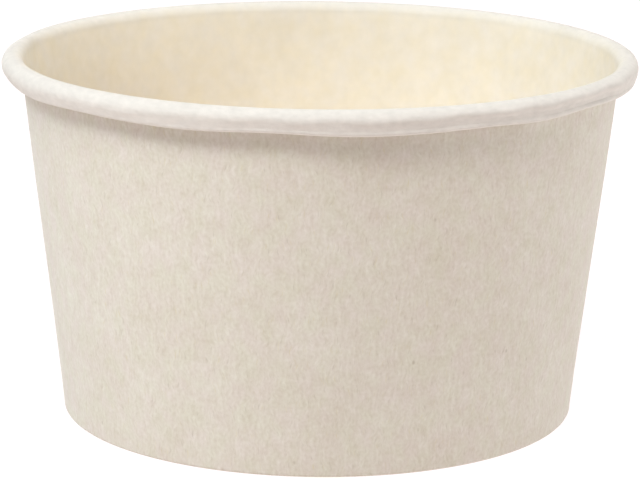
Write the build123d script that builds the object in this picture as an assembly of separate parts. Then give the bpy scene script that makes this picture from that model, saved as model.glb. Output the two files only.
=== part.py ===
"""Paperboard snack cup: a tapered wall wrapped from one blank, with a rolled rim, a glued side seam
and a folded hem, and a base disc whose skirt is sealed into that hem.

Sizes are in millimetres. The cup stands on the XY plane with its axis on Z.
"""

import math
import os

from build123d import *

# Overall sizes
rim_diameter = 95.0  # outside of the rolled rim
foot_diameter = 77.0  # outside of the wall at the table
cup_height = 54.5  # table to the top of the rim

# Board
wall_board = 0.5  # thickness of the wall's blank
base_board = 0.4  # thickness of the base's blank
seal_film = 0.03  # coating between two boards that are sealed together

# Rolled rim
roll_width = 3.3  # across the roll, wall included
roll_side = 0.3  # upright stretch on the outer side of the roll
roll_gap = 0.3  # cut edge of the roll to the lapped wall behind it

# Foot
base_recess = 6.5  # table to the underside of the base
base_bend_radius = 0.5  # inside of the bend between base and skirt
hem_gap = 0.5  # cut edge of the hem to the bend above it
skirt_gap = 0.3  # cut edge of the skirt to the hem's floor

# Side seam
seam_angle = 167.0  # degrees from +X to the cut edge of the inner flap
lap_width = 7.0  # overlap of the two flaps at half height
climb_width = 6.0  # stretch in which the board climbs onto the inner flap
lap_step = 0.4  # how far the pressed outer flap stands proud

# Rounds are drawn in chords, none of which turns by more than these degrees
roll_chord_angle = 28.5  # the roll's visible face
bore_chord_angle = 57.0  # the roll's hidden face
bend_chord_angle = 50.0  # the folds at the foot and the bend of the base

# Centres of the roll's upper and lower turns, as radius and height
roll_radius = roll_width / 2
roll_centre = rim_diameter / 2 - roll_radius
upper_turn = (roll_centre, cup_height - roll_radius)
lower_turn = (roll_centre, cup_height - roll_radius - roll_side)

# The wall's outer face leaves the table at the foot and meets the inside of the roll at a tangent
foot_radius = foot_diameter / 2
roll_reach = upper_turn[0] - foot_radius
roll_rise = upper_turn[1]
roll_bore = roll_radius - wall_board
taper = math.atan2(roll_reach, roll_rise) - math.asin(roll_bore / math.hypot(roll_reach, roll_rise))
taper_degrees = math.degrees(taper)

# The roll turns back under itself until its cut edge comes near the wall at the lap
tuck_reach = roll_bore - lap_step + roll_side * math.sin(taper) - roll_gap * math.cos(taper)
roll_tuck = 90 + taper_degrees + math.degrees(math.asin(tuck_reach / roll_radius))

# Layers inside the wall's outer face, each as a depth square to the wall
skirt_outer_depth = wall_board + seal_film
skirt_inner_depth = skirt_outer_depth + base_board
hem_depth = skirt_inner_depth + seal_film


def wall_radius(height, depth):
    """Radius at a height of the cone that lies at a depth inside the wall's outer face."""
    return foot_radius + height * math.tan(taper) - depth / math.cos(taper)


def turn(centre, radius, start, size, chord_angle):
    """Points round an arc about a centre, as radius and height, with angles in degrees."""
    chords = math.ceil(abs(size) / chord_angle)
    angles = [math.radians(start + size * step / chords) for step in range(chords + 1)]
    return [(centre[0] + radius * math.cos(a), centre[1] + radius * math.sin(a)) for a in angles]


def roll_line(radius, chord_angle):
    """The roll's course at one radius: up and over, down its outer side and back under."""
    up = turn(upper_turn, radius, 180 - taper_degrees, taper_degrees - 90, chord_angle)
    over = turn(upper_turn, radius, 90, -90, chord_angle)
    under = turn(lower_turn, radius, 0, -roll_tuck, chord_angle)
    return up + over[1:] + under


def board_section(rise):
    """Section of the blank on the XZ plane, lifted off its first layer by a rise square to the board."""
    hem_top = base_recess - base_bend_radius - hem_gap
    inner_depth = wall_board - rise
    inner_face = [
        (wall_radius(hem_top, hem_depth + rise), hem_top),
        (wall_radius(inner_depth, hem_depth + rise), inner_depth),
        (wall_radius(inner_depth, inner_depth), inner_depth),
        *roll_line(roll_radius - rise, roll_chord_angle),
    ]
    fold_radius = wall_board + rise
    hem_crease = (wall_radius(wall_board, hem_depth), wall_board)
    foot_crease = (wall_radius(wall_board, wall_board), wall_board)
    outer_face = [
        (wall_radius(hem_top, hem_depth + fold_radius), hem_top),
        *turn(hem_crease, fold_radius, 180 - taper_degrees, 90 + taper_degrees, bend_chord_angle),
        *turn(foot_crease, fold_radius, 270, 90 - taper_degrees, bend_chord_angle),
        *roll_line(roll_bore - rise, bore_chord_angle),
    ]
    return Plane.XZ * make_face(Polyline(*inner_face, *reversed(outer_face), close=True))


def side_wall():
    """The wrapped blank: once round, up onto its own first flap, and on over the lap."""
    half_height_radius = wall_radius(cup_height / 2, 0)
    climb_angle = math.degrees(climb_width / half_height_radius)
    lap_angle = math.degrees(lap_width / half_height_radius)
    first_layer = board_section(0)
    lap_layer = board_section(lap_step)

    once_round = revolve(first_layer, Axis.Z, 360 - climb_angle)
    climb = loft([Rot(Z=-climb_angle) * first_layer, lap_layer], ruled=True)
    lap = revolve(lap_layer, Axis.Z, lap_angle)
    table = Pos(Z=-cup_height / 2) * Box(2 * rim_diameter, 2 * rim_diameter, cup_height)
    return Rot(Z=seam_angle) * (once_round + climb + lap - table)


def base_disc():
    """The base: a flat round whose edge is turned down into a skirt that lies along the wall."""
    bend_height = base_recess - base_bend_radius
    bend_centre = (wall_radius(bend_height, skirt_inner_depth + base_bend_radius), bend_height)
    bend_turn = 90 + taper_degrees
    outer_bend = turn(bend_centre, base_bend_radius + base_board, 90, -bend_turn, bend_chord_angle)
    inner_bend = turn(bend_centre, base_bend_radius, 90, -bend_turn, bend_chord_angle)
    skirt_foot = wall_board + skirt_gap
    outline = Polyline(
        (0, base_recess),
        (0, base_recess + base_board),
        *outer_bend,
        (wall_radius(skirt_foot, skirt_outer_depth), skirt_foot),
        (wall_radius(skirt_foot, skirt_inner_depth), skirt_foot),
        *reversed(inner_bend),
        close=True,
    )
    return revolve(Plane.XZ * make_face(outline), Axis.Z)


os.makedirs("parts", exist_ok=True)
export_step(side_wall(), "parts/side_wall.step")
export_step(base_disc(), "parts/base_disc.step")
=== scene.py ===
"""Looks of a paperboard snack cup: a wrapped wall with a rolled rim and a folded hem, and a base disc.

Lengths are in metres. The cup stands on the XY plane with its axis on Z, and its front faces -Y.
"""

import math

import bmesh
import bpy
from bpy.props import FloatProperty, FloatVectorProperty, PointerProperty
from mathutils import Matrix, Vector, noise


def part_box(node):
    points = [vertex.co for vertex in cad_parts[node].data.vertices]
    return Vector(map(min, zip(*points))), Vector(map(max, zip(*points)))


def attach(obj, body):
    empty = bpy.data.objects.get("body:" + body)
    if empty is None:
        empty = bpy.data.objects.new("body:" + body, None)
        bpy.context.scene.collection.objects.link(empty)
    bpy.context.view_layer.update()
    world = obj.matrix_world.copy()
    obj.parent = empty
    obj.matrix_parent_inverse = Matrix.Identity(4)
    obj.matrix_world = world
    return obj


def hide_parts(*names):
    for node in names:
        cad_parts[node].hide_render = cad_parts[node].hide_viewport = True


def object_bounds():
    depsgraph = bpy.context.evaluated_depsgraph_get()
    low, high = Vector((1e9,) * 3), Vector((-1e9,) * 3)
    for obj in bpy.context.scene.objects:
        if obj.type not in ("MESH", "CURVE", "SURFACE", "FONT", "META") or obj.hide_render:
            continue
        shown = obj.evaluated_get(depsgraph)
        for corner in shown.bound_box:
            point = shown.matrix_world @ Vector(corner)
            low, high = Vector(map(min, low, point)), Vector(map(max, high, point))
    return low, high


bl_info = {
    "name": "Paperboard snack cup",
    "version": (1, 0, 0),
    "blender": (4, 5, 0),
    "location": "View3D > Sidebar > Snack cup",
    "description": "Builds a paperboard snack cup around its packed frame",
    "category": "Add Mesh",
}

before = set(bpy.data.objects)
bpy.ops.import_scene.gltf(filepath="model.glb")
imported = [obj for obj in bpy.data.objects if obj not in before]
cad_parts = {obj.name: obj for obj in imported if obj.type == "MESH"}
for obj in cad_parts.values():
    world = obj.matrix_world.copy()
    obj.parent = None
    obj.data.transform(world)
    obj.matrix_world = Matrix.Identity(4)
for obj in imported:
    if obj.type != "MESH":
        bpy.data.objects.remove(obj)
cad_low, cad_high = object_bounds()
base_low, base_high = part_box("base_disc")

MILLIMETRE = 0.001
FULL_TURN = 2 * math.pi
FRONT = math.radians(-90)  # bearing of the cup's front, from +X

# Sockets of the node that blends two colours
BLEND_SHARE = 0
BLEND_FIRST = 6
BLEND_SECOND = 7
BLEND_RESULT = 2

# Mesh density
ROUND_STEPS = 420  # steps of the wrapped wall, lap included
HEM_STEPS = 5
FOLD_STEPS = 6
WALL_STEPS = 22
ROLL_STEPS = 26
TUCK_STEPS = 30
DISC_STEPS = 12
BASE_ROUND_STEPS = 240

TABLE_GAP = 0.01 * MILLIMETRE  # keeps the hem clear of the table
MERGE_DISTANCE = 0.001 * MILLIMETRE
CUT_ROUND = 0.03 * MILLIMETRE  # how far the cut edges of the board are worn round
CUT_ANGLE = math.radians(55)  # edges that turn by more than this count as cut

# Faint tints of the outside, in patches
STRAW_PATCH = (0.99, 1.009, 0.978)
PINK_PATCH = (1.01, 0.991, 1.015)

# Faint tints of the inside, in patches
OCHRE_PATCH = (0.995, 0.985, 0.945)
CREAM_PATCH = (1.005, 1.015, 1.055)

# Stretch in which the inside's cream gives way to the rim's tint, a darker, less yellow copy of the same
# coating that is painted shade: before and past the start of the roll
TINT_BEFORE = 0.5 * MILLIMETRE
TINT_PAST = 2.2 * MILLIMETRE

# Surface of the rim: share of its smudges in the tone, share of its pits in the relief
RIM_SMUDGES = 0.18
RIM_PITS = 0.5

# Outside: how far the fibres wander and how many bark specks there are, round the cup and along the board
FIBRE_WANDER = (1.6, 0.4, 0.0)  # in millimetres
SPECK_DENSITY = (0.16, 0.12, 1.0)  # for each millimetre

# Waves of the rolled rim's lower side: how many go round, bearing of a low point from the front, depth
RIM_WAVES = (
    (10, math.radians(-26), 0.15 * MILLIMETRE),
    (7, math.radians(8), 0.04 * MILLIMETRE),
    (17, math.radians(44), 0.03 * MILLIMETRE),
)

# Shares of the roll between which its waves set in
WAVED_FROM = 0.3
WAVED_BY = 0.8

# Place where the rim's lower side is pushed up: bearing from the front, reach to each side, height
LIFT_BEARING = math.radians(52)
LIFT_REACH = math.radians(15)
LIFT_HEIGHT = 0.4 * MILLIMETRE

# Flat that the rolling tool presses into the outer face of the rim, as angles above the rim's widest line
CREASE_TOP = math.radians(11)
CREASE_FOOT = math.radians(-56)
CREASE_TILT = math.radians(22)  # how much higher its top lies on the right, and lower on the left
CREASE_WANDER = math.radians(22)
CREASE_LENGTH = 5 * MILLIMETRE  # length round the rim in which its top wanders
CREASE_ROUND = 0.20 * MILLIMETRE  # how far its top edge is rounded
CREASE_REACH = math.radians(60)  # bearing to each side of the front up to which it has its whole depth
CREASE_FADE = 0.9  # share of its depth that is lost at the sides and the back
HOLLOW_DEPTH = 0.08 * MILLIMETRE  # how far the flat is hollowed at the front, deeper on the right
HOLLOW_BY = 0.5  # share of the flat by which the hollow has its whole depth
LIP_SHARE = 0.22  # share of the flat that rises from the hollow to the lip below it
DENT_DEPTH = 0.11 * MILLIMETRE
DENT_LENGTH = 1.9 * MILLIMETRE

# Lap in the rim: share of its step that is ironed flat, share of the roll by which it is
IRONED_SHARE = 0.75
IRONED_BY = 0.25

# Slow waves of the wall: length, depth
WAVE_LENGTH = 24 * MILLIMETRE
WAVE_DEPTH = 0.12 * MILLIMETRE

# Flare of the foot: height in which it fades, width at the table
FLARE_HEIGHT = 9 * MILLIMETRE
FLARE_WIDTH = 0.12 * MILLIMETRE

FLOOR_REACH = 6.0  # middle of the floor to its edges
FLOOR_GREY = (0.15, 0.15, 0.15, 1.0)
LIGHT_DISTANCE = 1.0  # cup to each soft light

# Soft lights: bearing from the front, elevation, width, share of the light power, share of the cool tint
SOFT_LIGHTS = (
    ("front_light", math.radians(-20), math.radians(50), 0.40, 0.62, 0.0),
    ("upper_light", math.radians(-30), math.radians(60), 0.50, 0.49, 0.6),
    ("key_light", math.radians(-47), math.radians(46), 0.25, 0.58, 1.0),
    ("left_light", math.radians(-85), math.radians(38), 0.60, 0.25, 1.0),
    ("low_light", math.radians(-100), math.radians(8), 0.50, 0.15, 1.0),
    ("right_light", math.radians(95), math.radians(9), 0.30, 0.55, 0.7),
    ("back_light", math.radians(180), math.radians(55), 0.80, 0.32, 0.0),
    ("edge_light", math.radians(80), math.radians(58), 0.80, 0.50, 0.0),
)


def length(name, description, default):
    """A size that a user may change."""
    return FloatProperty(
        name=name, description=description, default=default, min=0.0, precision=5, unit="LENGTH"
    )


def colour(name, description, default):
    """A colour that a user may change."""
    return FloatVectorProperty(
        name=name, description=description, default=default, size=3, min=0.0, max=1.0, subtype="COLOR"
    )


class CupSizes(bpy.types.PropertyGroup):
    """Sizes of the cup's two blanks once they are formed."""

    rim_diameter: length("Rim diameter", "Outside of the rolled rim", cad_high.x - cad_low.x)
    height: length("Height", "Table to the top of the rim", cad_high.z)
    foot_diameter: length("Foot diameter", "Outside of the wall at the table", 77 * MILLIMETRE)
    board: length("Wall board", "Thickness of the wall's blank", 0.5 * MILLIMETRE)
    base_board: length("Base board", "Thickness of the base's blank", 0.4 * MILLIMETRE)
    roll_width: length("Roll width", "Across the rolled rim, wall included", 3.3 * MILLIMETRE)
    roll_side: length("Roll side", "Upright stretch on the outer side of the roll", 0.3 * MILLIMETRE)
    roll_gap: length("Roll gap", "Cut edge of the roll to the lapped wall", 0.3 * MILLIMETRE)
    fold_radius: length("Fold radius", "Middle of the board in the folds at the foot", 0.32 * MILLIMETRE)
    bend_radius: length("Bend radius", "Middle of the board in the bend of the base", 0.7 * MILLIMETRE)
    hem_height: length("Hem height", "Table to the cut edge of the hem", 5.5 * MILLIMETRE)
    skirt_foot: length("Skirt foot", "Table to the cut edge of the base's skirt", base_low.z)
    base_top: length("Base top", "Table to the upper face of the base", base_high.z)
    seal_film: length("Seal film", "Coating between two sealed boards", 0.03 * MILLIMETRE)
    lap_width: length("Lap width", "Overlap of the two flaps at half height", 7 * MILLIMETRE)
    climb_width: length("Climb width", "Stretch in which the board climbs onto its own flap", 6 * MILLIMETRE)
    lap_step: length("Lap step", "How far the outer flap stands proud", 0.4 * MILLIMETRE)
    press_width: length("Press width", "Stretch in which the inner flap is pressed thin", 9 * MILLIMETRE)
    pressed_board: length("Pressed board", "Thickness of the inner flap at its cut edge", 0.12 * MILLIMETRE)
    seam_bearing: FloatProperty(
        name="Seam bearing",
        description="From +X to the cut edge of the inner flap",
        default=math.radians(167),
        subtype="ANGLE",
    )


class CupColours(bpy.types.PropertyGroup):
    """Colours of the board's faces and of its fibres."""

    paper: colour("Paper", "Pale part of the uncoated outside", (0.719, 0.653, 0.568))
    fibre: colour("Fibre", "Dark part of the uncoated outside", (0.581, 0.495, 0.392))
    straw: colour("Straw", "Yellow fibres of the outside", (0.62, 0.52, 0.31))
    speck: colour("Speck", "Bits of bark and husk in the outside", (0.36, 0.27, 0.18))
    coating: colour("Coating", "Coated inside of the board", (0.855, 0.757, 0.621))
    # Rim: the inside's coating again, darker and less yellow where it is rolled; the difference is painted
    # shade
    rim: colour("Rim", "Coated face where it is rolled into the rim", (0.702, 0.632, 0.565))
    # Cut edges: the bare core's own colour, set darker so that the seam shows as a dark line, partly painted
    # shade
    edge_core_and_shade: colour("Cut edge", "Bare core of the board at its cut edges", (0.56, 0.47, 0.35))


class StageSettings(bpy.types.PropertyGroup):
    """Where the camera stands and how bright the studio is."""

    camera_distance: length("Camera distance", "Camera to the cup's axis, along the table", 0.4488)
    camera_height: length("Camera height", "Table to the camera", 0.1342)
    aim_height: length("Aim height", "Table to the point in the middle of the picture", 0.02543)
    aim_side: length("Aim side", "How far right of the cup's axis that point lies", 0.0002)
    camera_roll: FloatProperty(
        name="Camera roll",
        description="Turn of the camera about its line of sight",
        default=math.radians(0.61),
        subtype="ANGLE",
    )
    lens: FloatProperty(
        name="Lens", description="Focal length on a 36 mm sensor", default=171.1, unit="CAMERA"
    )
    light_power: FloatProperty(
        name="Light power", description="Power of a soft light whose share is 1", default=6.1, unit="POWER"
    )
    cool_tint: colour("Cool tint", "Colour of the coolest soft lights", (0.765, 0.915, 1.0))
    floor_glow: FloatProperty(
        name="Floor glow", description="Brightness of the floor's own light", default=0.97
    )
    floor_tint: colour("Floor tint", "Colour of the floor's own light", (1.0, 0.945, 0.945))


def clamp(value):
    """Keep a share between 0 and 1."""
    return min(max(value, 0.0), 1.0)


def ease(value):
    """A share that starts and ends slowly."""
    share = clamp(value)
    return share * share * (3 - 2 * share)


# Board sections


class WallSection:
    """Where the middle of the wall's board runs in section, as radius and height."""

    def __init__(self, sizes):
        self.half_board = sizes.board / 2
        self.foot_radius = sizes.foot_diameter / 2
        self.hem_height = sizes.hem_height
        self.roll_side = sizes.roll_side

        roll_radius = sizes.roll_width / 2
        self.roll_centre = Vector((sizes.rim_diameter / 2 - roll_radius, 0, sizes.height - roll_radius))
        self.roll_middle = roll_radius - self.half_board
        reach = self.roll_centre.x - self.foot_radius
        rise = self.roll_centre.z
        roll_bore = roll_radius - sizes.board
        self.taper = math.atan2(reach, rise) - math.asin(roll_bore / math.hypot(reach, rise))
        side_reach = sizes.roll_side * math.sin(self.taper)
        gap_reach = sizes.roll_gap * math.cos(self.taper)
        tuck_reach = roll_bore - sizes.lap_step + side_reach - gap_reach
        self.tuck = math.pi / 2 + self.taper + math.asin(tuck_reach / roll_radius)

        self.fold_radius = sizes.fold_radius
        self.skirt_depth = sizes.board + sizes.seal_film + sizes.base_board / 2
        self.hem_depth = sizes.board + 2 * sizes.seal_film + sizes.base_board + self.half_board
        fold_height = self.fold_radius + self.half_board
        self.hem_fold = self.place(fold_height, self.hem_depth - self.fold_radius)
        self.foot_fold = self.place(fold_height, self.half_board + self.fold_radius)

    def place(self, height, depth):
        """A point at a height, at a depth inside the wall's outer face and square to it."""
        radius = self.foot_radius + height * math.tan(self.taper) - depth / math.cos(self.taper)
        return Vector((radius, 0, height))

    def roll_place(self, angle, drop):
        """A point of the roll at an angle above its widest line, lowered by a drop."""
        reach = self.roll_middle * Vector((math.cos(angle), 0, math.sin(angle)))
        return self.roll_centre + reach - Vector((0, 0, drop))


def draw_run(mesh, end, goal, steps):
    """Lengthen a line straight from its end vertex to a goal."""
    stride = (goal - end.co) / steps
    made = bmesh.ops.spin(mesh, geom=[end], dvec=stride, axis=(0, 1, 0), angle=0.0, steps=steps)
    return last_vertex(made)


def draw_arc(mesh, end, centre, angle, steps):
    """Lengthen a line from its end vertex by an arc about a centre, clockwise as seen from the front."""
    made = bmesh.ops.spin(mesh, geom=[end], cent=centre, axis=(0, 1, 0), angle=angle, steps=steps)
    return last_vertex(made)


def last_vertex(made):
    """The vertex at which a spun line ends."""
    return next(item for item in made["geom_last"] if isinstance(item, bmesh.types.BMVert))


def measure_line(start, layer):
    """Write on each vertex of a line how far along it lies from its start, and return its length."""
    vertex = start
    behind = None
    while True:
        ahead = [edge for edge in vertex.link_edges if edge is not behind]
        if not ahead:
            return vertex[layer]
        behind = ahead[0]
        following = behind.other_vert(vertex)
        following[layer] = vertex[layer] + behind.calc_length()
        vertex = following


def draw_wall_line(mesh, section, layer):
    """Draw the wall's board in section, from the hem, and return where its roll starts and ends."""
    start = mesh.verts.new(section.place(section.hem_height, section.hem_depth))
    taper = section.taper
    quarter = math.pi / 2
    slope = Vector((math.cos(taper), 0, -math.sin(taper)))
    end = draw_run(mesh, start, section.hem_fold - slope * section.fold_radius, HEM_STEPS)
    end = draw_arc(mesh, end, section.hem_fold, -quarter - taper, FOLD_STEPS)
    end = draw_run(mesh, end, section.foot_fold - Vector((0, 0, section.fold_radius)), 1)
    end = draw_arc(mesh, end, section.foot_fold, taper - quarter, FOLD_STEPS)
    wall_top = draw_run(mesh, end, section.roll_centre - slope * section.roll_middle, WALL_STEPS)
    end = draw_arc(mesh, wall_top, section.roll_centre, 2 * quarter - taper, ROLL_STEPS)
    end = draw_run(mesh, end, end.co - Vector((0, 0, section.roll_side)), 1)
    draw_arc(mesh, end, section.roll_centre - Vector((0, 0, section.roll_side)), section.tuck, TUCK_STEPS)
    whole_length = measure_line(start, layer)
    return wall_top[layer], whole_length


def rim_wave(bearing, rolled):
    """How far the lower side of the roll hangs down at a bearing from the front."""
    drop = sum(depth * math.cos(count * (bearing - low)) for count, low, depth in RIM_WAVES)
    apart = abs(math.remainder(bearing - LIFT_BEARING, FULL_TURN))
    drop -= LIFT_HEIGHT * ease(1 - apart / LIFT_REACH)
    return drop * ease((rolled - WAVED_FROM) / (WAVED_BY - WAVED_FROM))


def soft_positive(value, softness):
    """Hold a length at nought or above, with the corner between the two rounded."""
    if abs(value) >= softness:
        return max(value, 0)
    return (value + softness) ** 2 / (4 * softness)


def rim_press(section, place):
    """How far a point of the roll is moved in and up by the flat below the rim's crease."""
    radius = math.hypot(place.x, place.y)
    round_rim = Vector((place.x, place.y, 0)) * (section.roll_centre.x / radius)
    rightwards = place.x / radius
    frontwards = -place.y / radius
    top_angle = CREASE_TOP + CREASE_TILT * rightwards
    top_angle += CREASE_WANDER * noise.noise(round_rim / CREASE_LENGTH)
    top = section.roll_place(top_angle, 0)
    foot = section.roll_place(CREASE_FOOT, section.roll_side)
    flat = (foot - top).normalized()
    facing = Vector((-flat.z, 0, flat.x))
    offset = Vector((radius, 0, place.z)) - top
    share = offset.dot(flat) / (foot - top).length
    depth = soft_positive(offset.dot(facing), CREASE_ROUND * clamp(1 - share))
    if depth > 0:
        dent = HOLLOW_DEPTH * (1 + rightwards) ** 2 + DENT_DEPTH * noise.noise(place / DENT_LENGTH)
        depth += dent * ease(share / HOLLOW_BY) * ease((1 - share) / LIP_SHARE)
    depth *= 1 - CREASE_FADE * (1 - clamp(frontwards / math.cos(CREASE_REACH)))
    outwards = Vector((rightwards, -frontwards, 0))
    return -depth * (outwards * facing.x + Vector((0, 0, facing.z)))


def wall_wave(place, below_roll):
    """How far the wall waves inwards, between the hem and the roll."""
    free = ease(place.z / FLARE_HEIGHT - 1) * ease(below_roll / FLARE_HEIGHT)
    return WAVE_DEPTH * free * noise.noise(place / WAVE_LENGTH)


def flare(place, foot_radius):
    """Spread a point near the table outwards."""
    low = clamp(1 - place.z / FLARE_HEIGHT)
    spread = 1 + FLARE_WIDTH / foot_radius * low * low
    place.x *= spread
    place.y *= spread


# Pieces


def new_piece(name, mesh, materials):
    """Turn a bmesh into an object of the scene, with its materials in order."""
    data = bpy.data.meshes.new(name)
    mesh.to_mesh(data)
    mesh.free()
    for material in materials:
        data.materials.append(material)
    data.shade_smooth()
    piece = bpy.data.objects.new(name, data)
    bpy.context.scene.collection.objects.link(piece)
    return piece


def thicken(piece, thickness, group=""):
    """Give a sheet its thickness: first material on its face, second on its back, third on its edges."""
    wall = piece.modifiers.new("Board", "SOLIDIFY")
    wall.vertex_group = group
    wall.thickness = thickness
    wall.offset = 0.0
    wall.use_even_offset = True
    wall.material_offset = 1
    wall.material_offset_rim = 2
    edges = piece.modifiers.new("Cut edges", "BEVEL")
    edges.limit_method = "ANGLE"
    edges.angle_limit = CUT_ANGLE
    edges.width = CUT_ROUND
    edges.segments = 1
    edges.harden_normals = True


def lay_on_body(piece, node):
    """Let a piece stand for its node, on the only body."""
    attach(piece, "root")
    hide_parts(node)


def make_wall(sizes, colours):
    """The wrapped wall: one sheet that goes once round, climbs onto its own flap and ends in the lap."""
    section = WallSection(sizes)
    half_height_radius = section.place(sizes.height / 2, 0).x
    lap_angle = sizes.lap_width / half_height_radius
    climb_angle = sizes.climb_width / half_height_radius
    press_angle = sizes.press_width / half_height_radius
    press_share = 1 - sizes.pressed_board / sizes.board
    whole_angle = FULL_TURN + lap_angle

    mesh = bmesh.new()
    along = mesh.verts.layers.float.new("along")
    thickness = mesh.verts.layers.deform.new()
    roll_start, roll_end = draw_wall_line(mesh, section, along)
    line_count = len(mesh.verts)
    bmesh.ops.rotate(mesh, verts=mesh.verts[:], matrix=Matrix.Rotation(sizes.seam_bearing, 3, "Z"))
    bmesh.ops.spin(
        mesh, geom=mesh.verts[:] + mesh.edges[:], axis=(0, 0, 1), angle=whole_angle, steps=ROUND_STEPS
    )
    bmesh.ops.recalc_face_normals(mesh, faces=mesh.faces[:])
    mesh.verts.index_update()
    mesh.normal_update()

    turned = [vertex.index // line_count * whole_angle / ROUND_STEPS for vertex in mesh.verts]
    uv = mesh.loops.layers.uv.new("board")
    for face in mesh.faces:
        for loop in face.loops:
            loop[uv].uv = (turned[loop.vert.index] * half_height_radius, loop.vert[along])

    inwards = [vertex.normal.copy() for vertex in mesh.verts]
    for vertex in mesh.verts:
        place = vertex.co
        turn = turned[vertex.index]
        rolled = clamp((vertex[along] - roll_start) / (roll_end - roll_start))
        ironed = 1 - IRONED_SHARE * ease(rolled / IRONED_BY)
        climbed = ironed * ease((turn - FULL_TURN + climb_angle) / climb_angle)
        pressed = ironed * press_share * ease(1 - turn / press_angle)
        vertex[thickness][0] = 1 - pressed
        shift = wall_wave(place, roll_start - vertex[along])
        shift -= sizes.lap_step * climbed + section.half_board * pressed
        if rolled > 0:
            vertex.co += rim_press(section, place)
        vertex.co += inwards[vertex.index] * shift
        vertex.co.z -= rim_wave(sizes.seam_bearing + turn - FRONT, rolled)
        vertex.co.z = max(vertex.co.z, section.half_board + TABLE_GAP)
        flare(vertex.co, section.foot_radius)

    inside = coated_board(colours, roll_start - TINT_BEFORE, roll_start + TINT_PAST)
    piece = new_piece("cup_wall", mesh, [inside, fibre_paper(colours), edge_core_and_shade(colours)])
    group = piece.vertex_groups.new(name="thickness")
    thicken(piece, sizes.board, group.name)
    lay_on_body(piece, "side_wall")


def make_base(sizes, materials):
    """The base: a round whose edge is turned down into a skirt along the wall."""
    section = WallSection(sizes)
    middle = sizes.base_top - sizes.base_board / 2
    bend = section.place(middle - sizes.bend_radius, section.skirt_depth + sizes.bend_radius)

    mesh = bmesh.new()
    start = mesh.verts.new((0, 0, middle))
    end = draw_run(mesh, start, bend + Vector((0, 0, sizes.bend_radius)), DISC_STEPS)
    end = draw_arc(mesh, end, bend, math.pi / 2 + section.taper, FOLD_STEPS)
    draw_run(mesh, end, section.place(sizes.skirt_foot, section.skirt_depth), HEM_STEPS)
    bmesh.ops.spin(
        mesh,
        geom=mesh.verts[:] + mesh.edges[:],
        axis=(0, 0, 1),
        angle=FULL_TURN,
        steps=BASE_ROUND_STEPS,
        use_merge=True,
    )
    bmesh.ops.remove_doubles(mesh, verts=mesh.verts[:], dist=MERGE_DISTANCE)
    bmesh.ops.recalc_face_normals(mesh, faces=mesh.faces[:])
    uv = mesh.loops.layers.uv.new("board")
    for face in mesh.faces:
        for loop in face.loops:
            loop[uv].uv = loop.vert.co.xy
    for vertex in mesh.verts:
        flare(vertex.co, section.foot_radius)

    piece = new_piece("cup_base", mesh, materials)
    thicken(piece, sizes.base_board)
    lay_on_body(piece, "base_disc")


# Materials


def add_node(tree, kind, inputs=None, **settings):
    """Add a shader node, with settings, and with sockets filled by values or by other sockets."""
    node = tree.nodes.new("ShaderNode" + kind)
    for name, value in settings.items():
        setattr(node, name, value)
    for name, value in (inputs or {}).items():
        if isinstance(value, bpy.types.NodeSocket):
            tree.links.new(value, node.inputs[name])
        else:
            node.inputs[name].default_value = value
    return node


def combine(tree, operation, first, second):
    """Join two values, each a number or a socket, by one operation."""
    return add_node(tree, "Math", {0: first, 1: second}, operation=operation).outputs[0]


def rescale(tree, value, low, high, to_low=0.0, to_high=1.0):
    """Carry a value from one range to another, and hold it there."""
    inputs = {"Value": value, "From Min": low, "From Max": high, "To Min": to_low, "To Max": to_high}
    return add_node(tree, "MapRange", inputs, clamp=True).outputs[0]


def blend_colours(tree, share, first, second):
    """Go from one colour to another by a share."""
    inputs = {BLEND_SHARE: share}
    for socket, value in ((BLEND_FIRST, first), (BLEND_SECOND, second)):
        inputs[socket] = value if isinstance(value, bpy.types.NodeSocket) else (*value, 1.0)
    return add_node(tree, "Mix", inputs, data_type="RGBA").outputs[BLEND_RESULT]


def board_place(tree):
    """Place on the blank, in millimetres: round the cup, then along the board from its hem."""
    place = add_node(tree, "UVMap", uv_map="board").outputs[0]
    return add_node(tree, "Mapping", {"Vector": place, "Scale": (1 / MILLIMETRE,) * 3}).outputs[0]


def grain(tree, place, width, height, detail=2.0, shift=0.0):
    """Noise in cells of a width round the cup and a height along the board, in millimetres."""
    inputs = {"Vector": place, "Location": (shift, shift, shift), "Scale": (1 / width, 1 / height, 1.0)}
    cells = add_node(tree, "Mapping", inputs).outputs[0]
    return add_node(tree, "TexNoise", {"Vector": cells, "Scale": 1.0, "Detail": detail}).outputs[0]


def new_material(name, roughness, specular):
    """A matte material: its tree, its shader and the material itself."""
    material = bpy.data.materials.new(name)
    material.use_nodes = True
    tree = material.node_tree
    shader = tree.nodes["Principled BSDF"]
    shader.inputs["Roughness"].default_value = roughness
    shader.inputs["Specular IOR Level"].default_value = specular
    return material, tree, shader


def add_bump(tree, shader, height, distance, strength):
    """Raise a surface by a height pattern."""
    inputs = {"Height": height, "Distance": distance, "Strength": strength}
    bump = add_node(tree, "Bump", inputs)
    tree.links.new(bump.outputs[0], shader.inputs["Normal"])


def weighted_sum(tree, parts):
    """Add up sockets, each by its weight about its own middle, round one half."""
    total = 0.5
    for socket, weight in parts:
        centred = combine(tree, "SUBTRACT", socket, 0.5)
        total = combine(tree, "ADD", combine(tree, "MULTIPLY", centred, weight), total)
    return total


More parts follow.
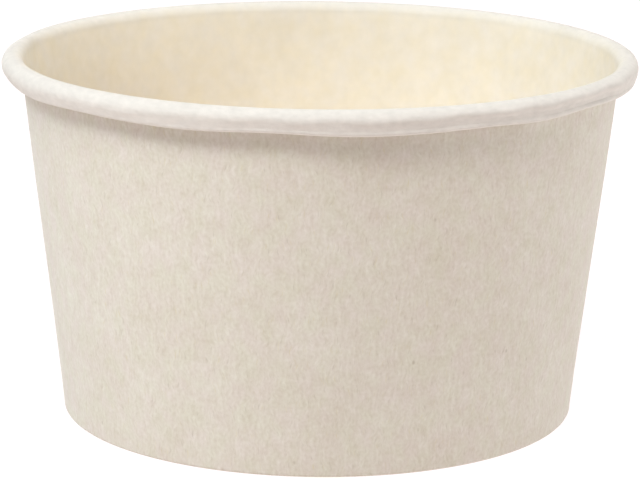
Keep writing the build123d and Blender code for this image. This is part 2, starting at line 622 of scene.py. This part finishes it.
def fibre_paper(colours):
    """Uncoated outside: pale board with short fibres that run mostly up the cup, and a few dark bits."""
    material, tree, shader = new_material("fibre_paper", roughness=0.7, specular=0.35)
    shader.inputs["Sheen Weight"].default_value = 0.12
    place = board_place(tree)
    wander = add_node(tree, "TexNoise", {"Vector": place, "Scale": 0.35, "Detail": 1.0}).outputs[1]
    bend = add_node(tree, "VectorMath", {0: wander, 1: (0.5, 0.5, 0.5)}, operation="SUBTRACT").outputs[0]
    bend = add_node(tree, "VectorMath", {0: bend, 1: FIBRE_WANDER}, operation="MULTIPLY").outputs[0]
    bent = add_node(tree, "VectorMath", {0: place, 1: bend}, operation="ADD").outputs[0]

    fine = grain(tree, bent, width=0.42, height=0.60, detail=1.0, shift=3.0)
    broad = grain(tree, bent, width=0.5, height=2.2, shift=11.0)
    mottle = grain(tree, place, width=1.6, height=2.2, shift=23.0)
    cloud = grain(tree, place, width=8.0, height=11.0, shift=37.0)
    tone = weighted_sum(tree, ((fine, 0.9), (broad, 0.8), (mottle, 0.6), (cloud, 0.5)))
    tone = rescale(tree, tone, low=0.0, high=1.0)
    surface = blend_colours(tree, tone, colours.fibre, colours.paper)

    patches = grain(tree, place, width=3.0, height=4.0, shift=83.0)
    patches = rescale(tree, patches, low=0.35, high=0.65)
    tint = blend_colours(tree, patches, STRAW_PATCH, PINK_PATCH)
    surface = add_node(tree, "VectorMath", {0: surface, 1: tint}, operation="MULTIPLY").outputs[0]
    dark_fibre = grain(tree, bent, width=0.3, height=1.7, shift=61.0)
    dark_fibre = rescale(tree, dark_fibre, low=0.61, high=0.80, to_high=0.36)
    surface = blend_colours(tree, dark_fibre, surface, colours.speck)
    straw_fibre = grain(tree, bent, width=0.25, height=2.2, shift=71.0)
    straw_fibre = rescale(tree, straw_fibre, low=0.64, high=0.76, to_high=0.60)
    surface = blend_colours(tree, straw_fibre, surface, colours.straw)

    cells = add_node(tree, "Mapping", {"Vector": place, "Scale": SPECK_DENSITY}).outputs[0]
    nearest = add_node(tree, "TexVoronoi", {"Vector": cells, "Scale": 1.0}, feature="F1").outputs["Distance"]
    speck = rescale(tree, nearest, low=0.02, high=0.05, to_low=0.5, to_high=0.0)
    surface = blend_colours(tree, speck, surface, colours.speck)
    tree.links.new(surface, shader.inputs["Base Color"])

    tooth = grain(tree, place, width=0.14, height=0.2, shift=51.0)
    height = weighted_sum(tree, ((fine, 0.7), (tooth, 0.5)))
    add_bump(tree, shader, height, distance=0.03 * MILLIMETRE, strength=0.5)
    return material


def coated_board(colours, rim_start, rim_end):
    """Coated inside: smooth cream, which gives way on the rim to a finely pitted face whose darker, less
    yellow tint is painted shade on the same coating.
    """
    material, tree, shader = new_material("coated_board", roughness=0.6, specular=0.08)
    place = board_place(tree)
    cloud = grain(tree, place, width=6.0, height=8.0, shift=5.0)
    mottle = grain(tree, place, width=1.6, height=2.0, shift=17.0)
    smudge = grain(tree, place, width=1.2, height=0.7, shift=29.0)
    along = add_node(tree, "SeparateXYZ", {"Vector": place}).outputs[1]
    rim_share = rescale(tree, along, rim_start / MILLIMETRE, rim_end / MILLIMETRE)
    smudge_weight = combine(tree, "MULTIPLY", rim_share, RIM_SMUDGES)
    tone = weighted_sum(tree, ((cloud, 0.10), (mottle, 0.10), (smudge, smudge_weight)))
    patches = grain(tree, place, width=3.0, height=3.6, shift=43.0)
    patches = rescale(tree, patches, low=0.3, high=0.7)
    tint = blend_colours(tree, patches, OCHRE_PATCH, CREAM_PATCH)
    inside = add_node(tree, "VectorMath", {0: tint, 1: colours.coating}, operation="MULTIPLY").outputs[0]
    # Rim tint: painted shade, the same coating darker and less yellow on the roll
    surface = blend_colours(tree, rim_share, inside, colours.rim)
    brightness = combine(tree, "ADD", tone, 0.5)
    surface = add_node(tree, "VectorMath", {0: surface, "Scale": brightness}, operation="SCALE").outputs[0]
    tree.links.new(surface, shader.inputs["Base Color"])

    pits = grain(tree, place, width=0.6, height=0.45, shift=53.0)
    pit_weight = combine(tree, "MULTIPLY", rim_share, RIM_PITS)
    height = weighted_sum(tree, ((cloud, 0.09), (pits, pit_weight)))
    add_bump(tree, shader, height, distance=0.1 * MILLIMETRE, strength=1.0)
    return material


def edge_core_and_shade(colours):
    """Bare core of the board where it was cut: finely mottled fibres, set darker so that the seam and the
    other cut edges show as dark lines; partly the core's own colour, partly painted shade.
    """
    material, tree, shader = new_material("edge_core_and_shade", roughness=0.85, specular=0.2)
    place = board_place(tree)
    mottle = grain(tree, place, width=0.3, height=0.3, shift=7.0)
    # Darker edge tone: partly the core's own colour, partly painted shade along the seam and the other cut
    # edges
    surface = blend_colours(tree, mottle, colours.fibre, colours.edge_core_and_shade)
    tree.links.new(surface, shader.inputs["Base Color"])
    return material


def white_floor(glow, tint):
    """Pale studio floor that is lit from within, as a light table is."""
    material, _, shader = new_material("white_floor", roughness=0.9, specular=0.0)
    shader.inputs["Base Color"].default_value = FLOOR_GREY
    shader.inputs["Emission Color"].default_value = (*tint, 1.0)
    shader.inputs["Emission Strength"].default_value = glow
    return material


# Stage


def make_floor(glow, tint):
    """A plain pale floor."""
    mesh = bmesh.new()
    bmesh.ops.create_grid(mesh, x_segments=1, y_segments=1, size=FLOOR_REACH)
    floor = new_piece("floor", mesh, [white_floor(glow, tint)])


def make_light(name, bearing, elevation, size, power, tint):
    """A soft round light that faces the cup, at a bearing from the front and an elevation."""
    light = bpy.data.lights.new(name, "AREA")
    light.shape = "DISK"
    light.size = size
    light.energy = power
    light.color = tint
    lamp = bpy.data.objects.new(name, light)
    flat = math.cos(elevation)
    way = Vector((math.cos(FRONT + bearing) * flat, math.sin(FRONT + bearing) * flat, math.sin(elevation)))
    lamp.location = way * LIGHT_DISTANCE + Vector((0, 0, cad_high.z / 2))
    lamp.rotation_euler = way.to_track_quat("Z", "Y").to_euler()
    bpy.context.scene.collection.objects.link(lamp)


def make_room():
    """A white room round the floor, which shows in reflections and gives no other light."""
    room = bpy.data.worlds.new("white_room")
    room.use_nodes = True
    background = room.node_tree.nodes["Background"]
    background.inputs["Color"].default_value = (1.0, 1.0, 1.0, 1.0)
    background.inputs["Strength"].default_value = 1.0
    sight = room.cycles_visibility
    sight.diffuse = False
    sight.glossy = True
    sight.transmission = False
    sight.scatter = False
    bpy.context.scene.world = room


def make_camera(stage):
    """The camera in front of the cup, a little above it."""
    camera = bpy.data.cameras.new("camera")
    camera.lens = stage.lens
    stand = bpy.data.objects.new("camera", camera)
    stand.location = (0, -stage.camera_distance, stage.camera_height)
    sight = Vector((stage.aim_side, 0, stage.aim_height)) - stand.location
    facing = sight.to_track_quat("-Z", "Y").to_matrix()
    stand.rotation_euler = (facing @ Matrix.Rotation(stage.camera_roll, 3, "Z")).to_euler()
    bpy.context.scene.collection.objects.link(stand)
    bpy.context.scene.camera = stand


# Operators and panel


class SNACKCUP_OT_wall(bpy.types.Operator):
    """Build the wrapped wall with its rolled rim, lap seam and hem"""

    bl_idname = "snackcup.wall"
    bl_label = "Wall"

    def execute(self, context):
        make_wall(context.scene.cup_sizes, context.scene.cup_colours)
        return {"FINISHED"}


class SNACKCUP_OT_base(bpy.types.Operator):
    """Build the base disc with its skirt"""

    bl_idname = "snackcup.base"
    bl_label = "Base"

    def execute(self, context):
        finishes = [bpy.data.materials[name] for name in ("coated_board", "fibre_paper", "edge_core_and_shade")]
        make_base(context.scene.cup_sizes, finishes)
        return {"FINISHED"}


class SNACKCUP_OT_stage(bpy.types.Operator):
    """Set up the floor, the lights and the camera"""

    bl_idname = "snackcup.stage"
    bl_label = "Stage"

    def execute(self, context):
        stage = context.scene.cup_stage
        make_floor(stage.floor_glow, stage.floor_tint)
        make_room()
        for name, bearing, elevation, size, share, coolness in SOFT_LIGHTS:
            tint = Vector((1, 1, 1)).lerp(Vector(stage.cool_tint), coolness)
            make_light(name, bearing, elevation, size, share * stage.light_power, tint)
        make_camera(stage)
        context.scene.view_settings.view_transform = "Standard"
        return {"FINISHED"}


class SNACKCUP_PT_panel(bpy.types.Panel):
    """Lists the pieces of the cup"""

    bl_idname = "SNACKCUP_PT_panel"
    bl_label = "Snack cup"
    bl_space_type = "VIEW_3D"
    bl_region_type = "UI"
    bl_category = "Snack cup"

    def draw(self, context):
        for operator in (SNACKCUP_OT_wall, SNACKCUP_OT_base, SNACKCUP_OT_stage):
            self.layout.operator(operator.bl_idname)
        for group in (context.scene.cup_sizes, context.scene.cup_colours, context.scene.cup_stage):
            column = self.layout.column()
            for name in group.bl_rna.properties.keys():
                if name not in {"rna_type", "name"}:
                    column.prop(group, name)


CLASSES = (
    CupSizes,
    CupColours,
    StageSettings,
    SNACKCUP_OT_wall,
    SNACKCUP_OT_base,
    SNACKCUP_OT_stage,
    SNACKCUP_PT_panel,
)


def register():
    for item in CLASSES:
        bpy.utils.register_class(item)
    bpy.types.Scene.cup_sizes = PointerProperty(type=CupSizes)
    bpy.types.Scene.cup_colours = PointerProperty(type=CupColours)
    bpy.types.Scene.cup_stage = PointerProperty(type=StageSettings)


def unregister():
    del bpy.types.Scene.cup_stage
    del bpy.types.Scene.cup_colours
    del bpy.types.Scene.cup_sizes
    for item in reversed(CLASSES):
        bpy.utils.unregister_class(item)


def main():
    register()
    bpy.ops.snackcup.wall()
    bpy.ops.snackcup.base()
    bpy.ops.snackcup.stage()


if __name__ == "__main__":
    main()
